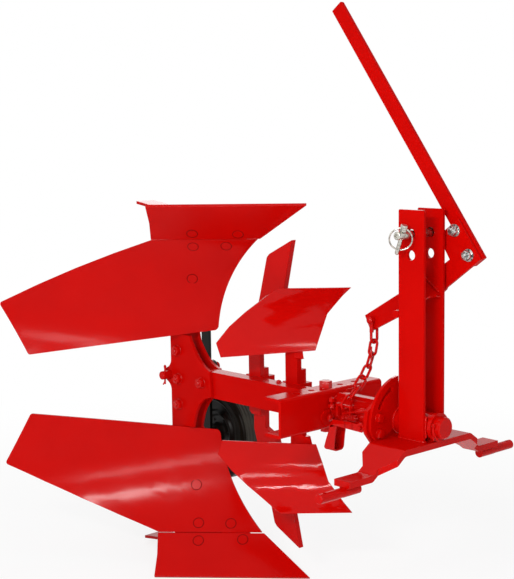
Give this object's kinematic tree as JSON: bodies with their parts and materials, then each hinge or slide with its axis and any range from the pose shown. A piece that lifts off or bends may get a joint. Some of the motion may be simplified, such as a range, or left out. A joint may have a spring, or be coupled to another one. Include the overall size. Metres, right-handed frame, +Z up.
{
  "type": "reversible moldboard plough",
  "caption": "Mounted turnover moldboard plough: mast and crossbar hitch, turnover shaft, beam with mirrored upper and lower bodies, skimmers and knives, latch lever with chain, depth wheel.",
  "frame": {"origin": "middle of the free lower top-link hole, halfway between the two mast bars", "axes": "+X forward, the way it is pulled; +Y along the top-link hole, away from the side the soil is thrown to; +Z up"},
  "size_m": [1.2466, 0.7503, 1.4576],
  "materials": {
    "red_paint": "gloss",
    "black_paint": "satin",
    "zinc_plate": "zinc plated",
    "wheel_tyre_rubber": "satin"
  },
  "bodies": {
    "headstock": {"mast_bar_near": "red_paint", "mast_bar_far": "red_paint", "mast_tie_plate": "red_paint", "lower_crossbar": "red_paint", "lower_hitch_pin_near": "red_paint", "lower_hitch_pin_far": "red_paint", "top_link_pin": "zinc_plate", "linch_pin": "zinc_plate", "hub_tube": "red_paint", "sector_plate": "red_paint", "adjuster_plate": "red_paint", "sector_bolts": "red_paint", "latch_bracket": "red_paint", "lever_stop_bar": "red_paint", "lever_pivot_pin": "red_paint"},
    "lever": {"lever_plate": "red_paint", "lever_handle": "red_paint", "lever_bolts": "zinc_plate"},
    "chain": {"chain_shackle": "red_paint", "chain_links": "red_paint"},
    "latch": {"latch_body": "red_paint"},
    "turnover_frame": {"turn_shaft": "red_paint", "shaft_washer": "red_paint", "turn_sleeve": "red_paint", "cross_channel": "red_paint", "beam": "red_paint", "beam_bolt": "red_paint", "catch_lugs": "red_paint", "leg_plate_near": "red_paint", "leg_plate_far": "red_paint", "leg_bolts": "red_paint", "moldboard_upper": "red_paint", "moldboard_lower": "red_paint", "share_upper": "red_paint", "share_lower": "red_paint", "frog_upper": "red_paint", "frog_lower": "red_paint", "heel_upper": "red_paint", "heel_lower": "red_paint", "landside_upper": "red_paint", "landside_lower": "red_paint", "skimmer_upper": "red_paint", "skimmer_lower": "red_paint", "skimmer_stalk_upper": "red_paint", "skimmer_stalk_lower": "red_paint", "knife_upper": "red_paint", "knife_lower": "red_paint", "skimmer_socket": "red_paint", "knife_socket": "red_paint", "wheel_arm_shaft": "red_paint", "wheel_stop_collar": "red_paint"},
    "wheel_arm": {"wheel_arm": "black_paint", "wheel_axle": "black_paint"},
    "wheel": {"wheel_tyre": "wheel_tyre_rubber", "wheel_rim": "black_paint"}
  },
  "joints": [
    {"name": "turnover_lock", "type": "hinge", "parent": "headstock", "child": "turnover_frame", "pos_m": [0, 0, -0.39], "axis": [1, 0, 0], "range_deg": [0, 180]},
    {"name": "lever_pivot", "type": "hinge", "parent": "headstock", "child": "lever", "pos_m": [0.008, 0.049, -0.076], "axis": [0, 1, 0], "range_deg": [0, 5]},
    {"name": "latch_pivot", "type": "hinge", "parent": "headstock", "child": "latch", "pos_m": [-0.11206, -0.065, -0.40389], "axis": [0, 1, 0], "range_deg": [0, 17]},
    {"name": "chain_pin", "type": "hinge", "parent": "lever", "child": "chain", "pos_m": [-0.18893, 0.049, -0.1741], "axis": [0, 1, 0], "range_deg": [-11, 0]},
    {"name": "wheel_arm_pivot", "type": "hinge", "parent": "turnover_frame", "child": "wheel_arm", "pos_m": [-0.847, 0.079, -0.381], "axis": [0, 1, 0], "range_deg": [-180, 0]},
    {"name": "wheel_spin", "type": "hinge", "parent": "wheel_arm", "child": "wheel", "pos_m": [-0.847, 0.138, -0.571], "axis": [0, 1, 0], "continuous": true}
  ],
  "couplings": [
    {"joint": "latch_pivot", "follows": "lever_pivot", "ratio": 3.4},
    {"joint": "chain_pin", "follows": "lever_pivot", "ratio": -2.2}
  ]
}
